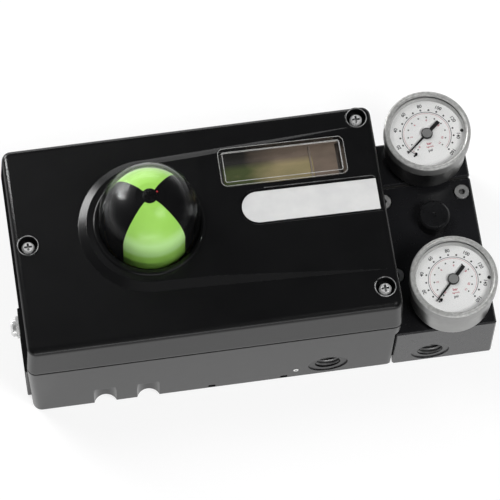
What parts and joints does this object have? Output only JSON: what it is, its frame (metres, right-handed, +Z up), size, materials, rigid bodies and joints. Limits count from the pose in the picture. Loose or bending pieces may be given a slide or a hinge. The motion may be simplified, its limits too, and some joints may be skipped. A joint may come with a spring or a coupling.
{
  "type": "valve positioner",
  "caption": "Digital valve positioner: a cast housing with a domed position indicator, a display window and a side manifold with pressure gauges, driven by a geared feedback shaft.",
  "frame": {"origin": "on the feedback shaft's axis, in the plane of the mounting face", "axes": "+X towards the manifold and its gauges, +Y towards the back wall with the conduit entry, +Z up through the cover and the indicator dome"},
  "size_m": [0.2344, 0.1198, 0.1166],
  "materials": {
    "housing_paint": "satin powder coat",
    "black_anodised": "black anodised",
    "dark_metal": "black oxide",
    "steel": "plain stainless",
    "gauge_steel": "bright stainless",
    "brass": "machined",
    "rubber": "matt",
    "clear_plastic": "clear polycarbonate",
    "window_plastic": "clear polycarbonate",
    "gauge_glass": "clear",
    "tray_plastic": "matt",
    "lcd": "gloss",
    "plate": "bare satin film",
    "board": "solder resist",
    "terminal_plastic": "moulded",
    "black_plastic": "moulded",
    "green_plastic": "moulded",
    "sensor_plastic": "moulded",
    "transducer_metal": "plain",
    "dial_white": "white enamel",
    "pointer_black": "matt black"
  },
  "bodies": {
    "housing": {"base_housing": "housing_paint", "cover": "housing_paint", "cover_gasket": "rubber", "cover_screws": "steel", "indicator_dome": "clear_plastic", "dome_seal": "rubber", "dome_retainer": "dark_metal", "retainer_screws": "steel", "display_window": "window_plastic", "display_tray": "tray_plastic", "lcd_glass": "lcd", "name_plate": "plate", "main_board": "board", "board_screws": "steel", "terminal_block": "terminal_plastic", "ground_screw": "steel", "ground_lug": "steel", "lower_bushing": "brass", "upper_bushing": "brass", "shaft_seal": "rubber", "shaft_bridge": "dark_metal", "bracket_screws": "steel", "potentiometer": "sensor_plastic", "pot_bracket": "steel", "ip_transducer": "transducer_metal", "manifold_block": "black_anodised", "manifold_end_block": "black_anodised", "end_block_gasket": "rubber", "end_block_screws": "steel", "manifold_gasket": "rubber", "manifold_mount_screws": "steel", "manifold_bottom_plate": "black_anodised", "manifold_screws": "steel", "spool_sleeve": "steel", "filter_plug": "black_plastic", "front_gauge_case": "gauge_steel", "front_gauge_bezel": "gauge_steel", "front_gauge_lens": "gauge_glass", "front_gauge_dial": "dial_white", "front_gauge_socket": "brass", "front_bourdon_tube": "brass", "rear_gauge_case": "gauge_steel", "rear_gauge_bezel": "gauge_steel", "rear_gauge_lens": "gauge_glass", "rear_gauge_dial": "dial_white", "rear_gauge_socket": "brass", "rear_bourdon_tube": "brass"},
    "shaft": {"feedback_shaft": "steel", "shaft_clip": "steel", "shaft_gear": "brass", "indicator_beacon": "black_plastic", "beacon_inserts": "green_plastic", "beacon_screw": "black_plastic"},
    "pot_pinion": {"pot_pinion": "brass"},
    "front_pointer": {"front_gauge_pointer": "pointer_black"},
    "rear_pointer": {"rear_gauge_pointer": "pointer_black"},
    "spool_body": {"spool": "steel"},
    "key_menu_body": {"key_menu": "black_plastic"},
    "key_up_body": {"key_up": "black_plastic"},
    "key_down_body": {"key_down": "black_plastic"}
  },
  "joints": [
    {"name": "shaft_turn", "type": "hinge", "parent": "housing", "child": "shaft", "pos_m": [0, 0, 0], "axis": [0, 0, 1], "range_deg": [0, 90]},
    {"name": "pinion_turn", "type": "hinge", "parent": "housing", "child": "pot_pinion", "pos_m": [-0.02797, 0.01615, 0.03], "axis": [0, 0, 1], "range_deg": [-272, 2]},
    {"name": "front_pointer_turn", "type": "hinge", "parent": "housing", "child": "front_pointer", "pos_m": [0.1414, -0.0415, 0.06], "axis": [0, 0, -1], "range_deg": [0, 273], "stiffness_Nm_per_rad": 0.0002},
    {"name": "rear_pointer_turn", "type": "hinge", "parent": "housing", "child": "rear_pointer", "pos_m": [0.1414, 0.0359, 0.06], "axis": [0, 0, -1], "range_deg": [0, 264], "stiffness_Nm_per_rad": 0.0002},
    {"name": "spool_slide", "type": "slide", "parent": "housing", "child": "spool_body", "axis": [0, 1, 0], "range_m": [-0.0025, 0.0025]},
    {"name": "key_menu_press", "type": "slide", "parent": "housing", "child": "key_menu_body", "axis": [0, 0, -1], "range_m": [0, 0.0008], "stiffness_N_per_m": 800},
    {"name": "key_up_press", "type": "slide", "parent": "housing", "child": "key_up_body", "axis": [0, 0, -1], "range_m": [0, 0.0008], "stiffness_N_per_m": 800},
    {"name": "key_down_press", "type": "slide", "parent": "housing", "child": "key_down_body", "axis": [0, 0, -1], "range_m": [0, 0.0008], "stiffness_N_per_m": 800}
  ],
  "couplings": [
    {"joint": "pinion_turn", "follows": "shaft_turn", "ratio": -3}
  ]
}
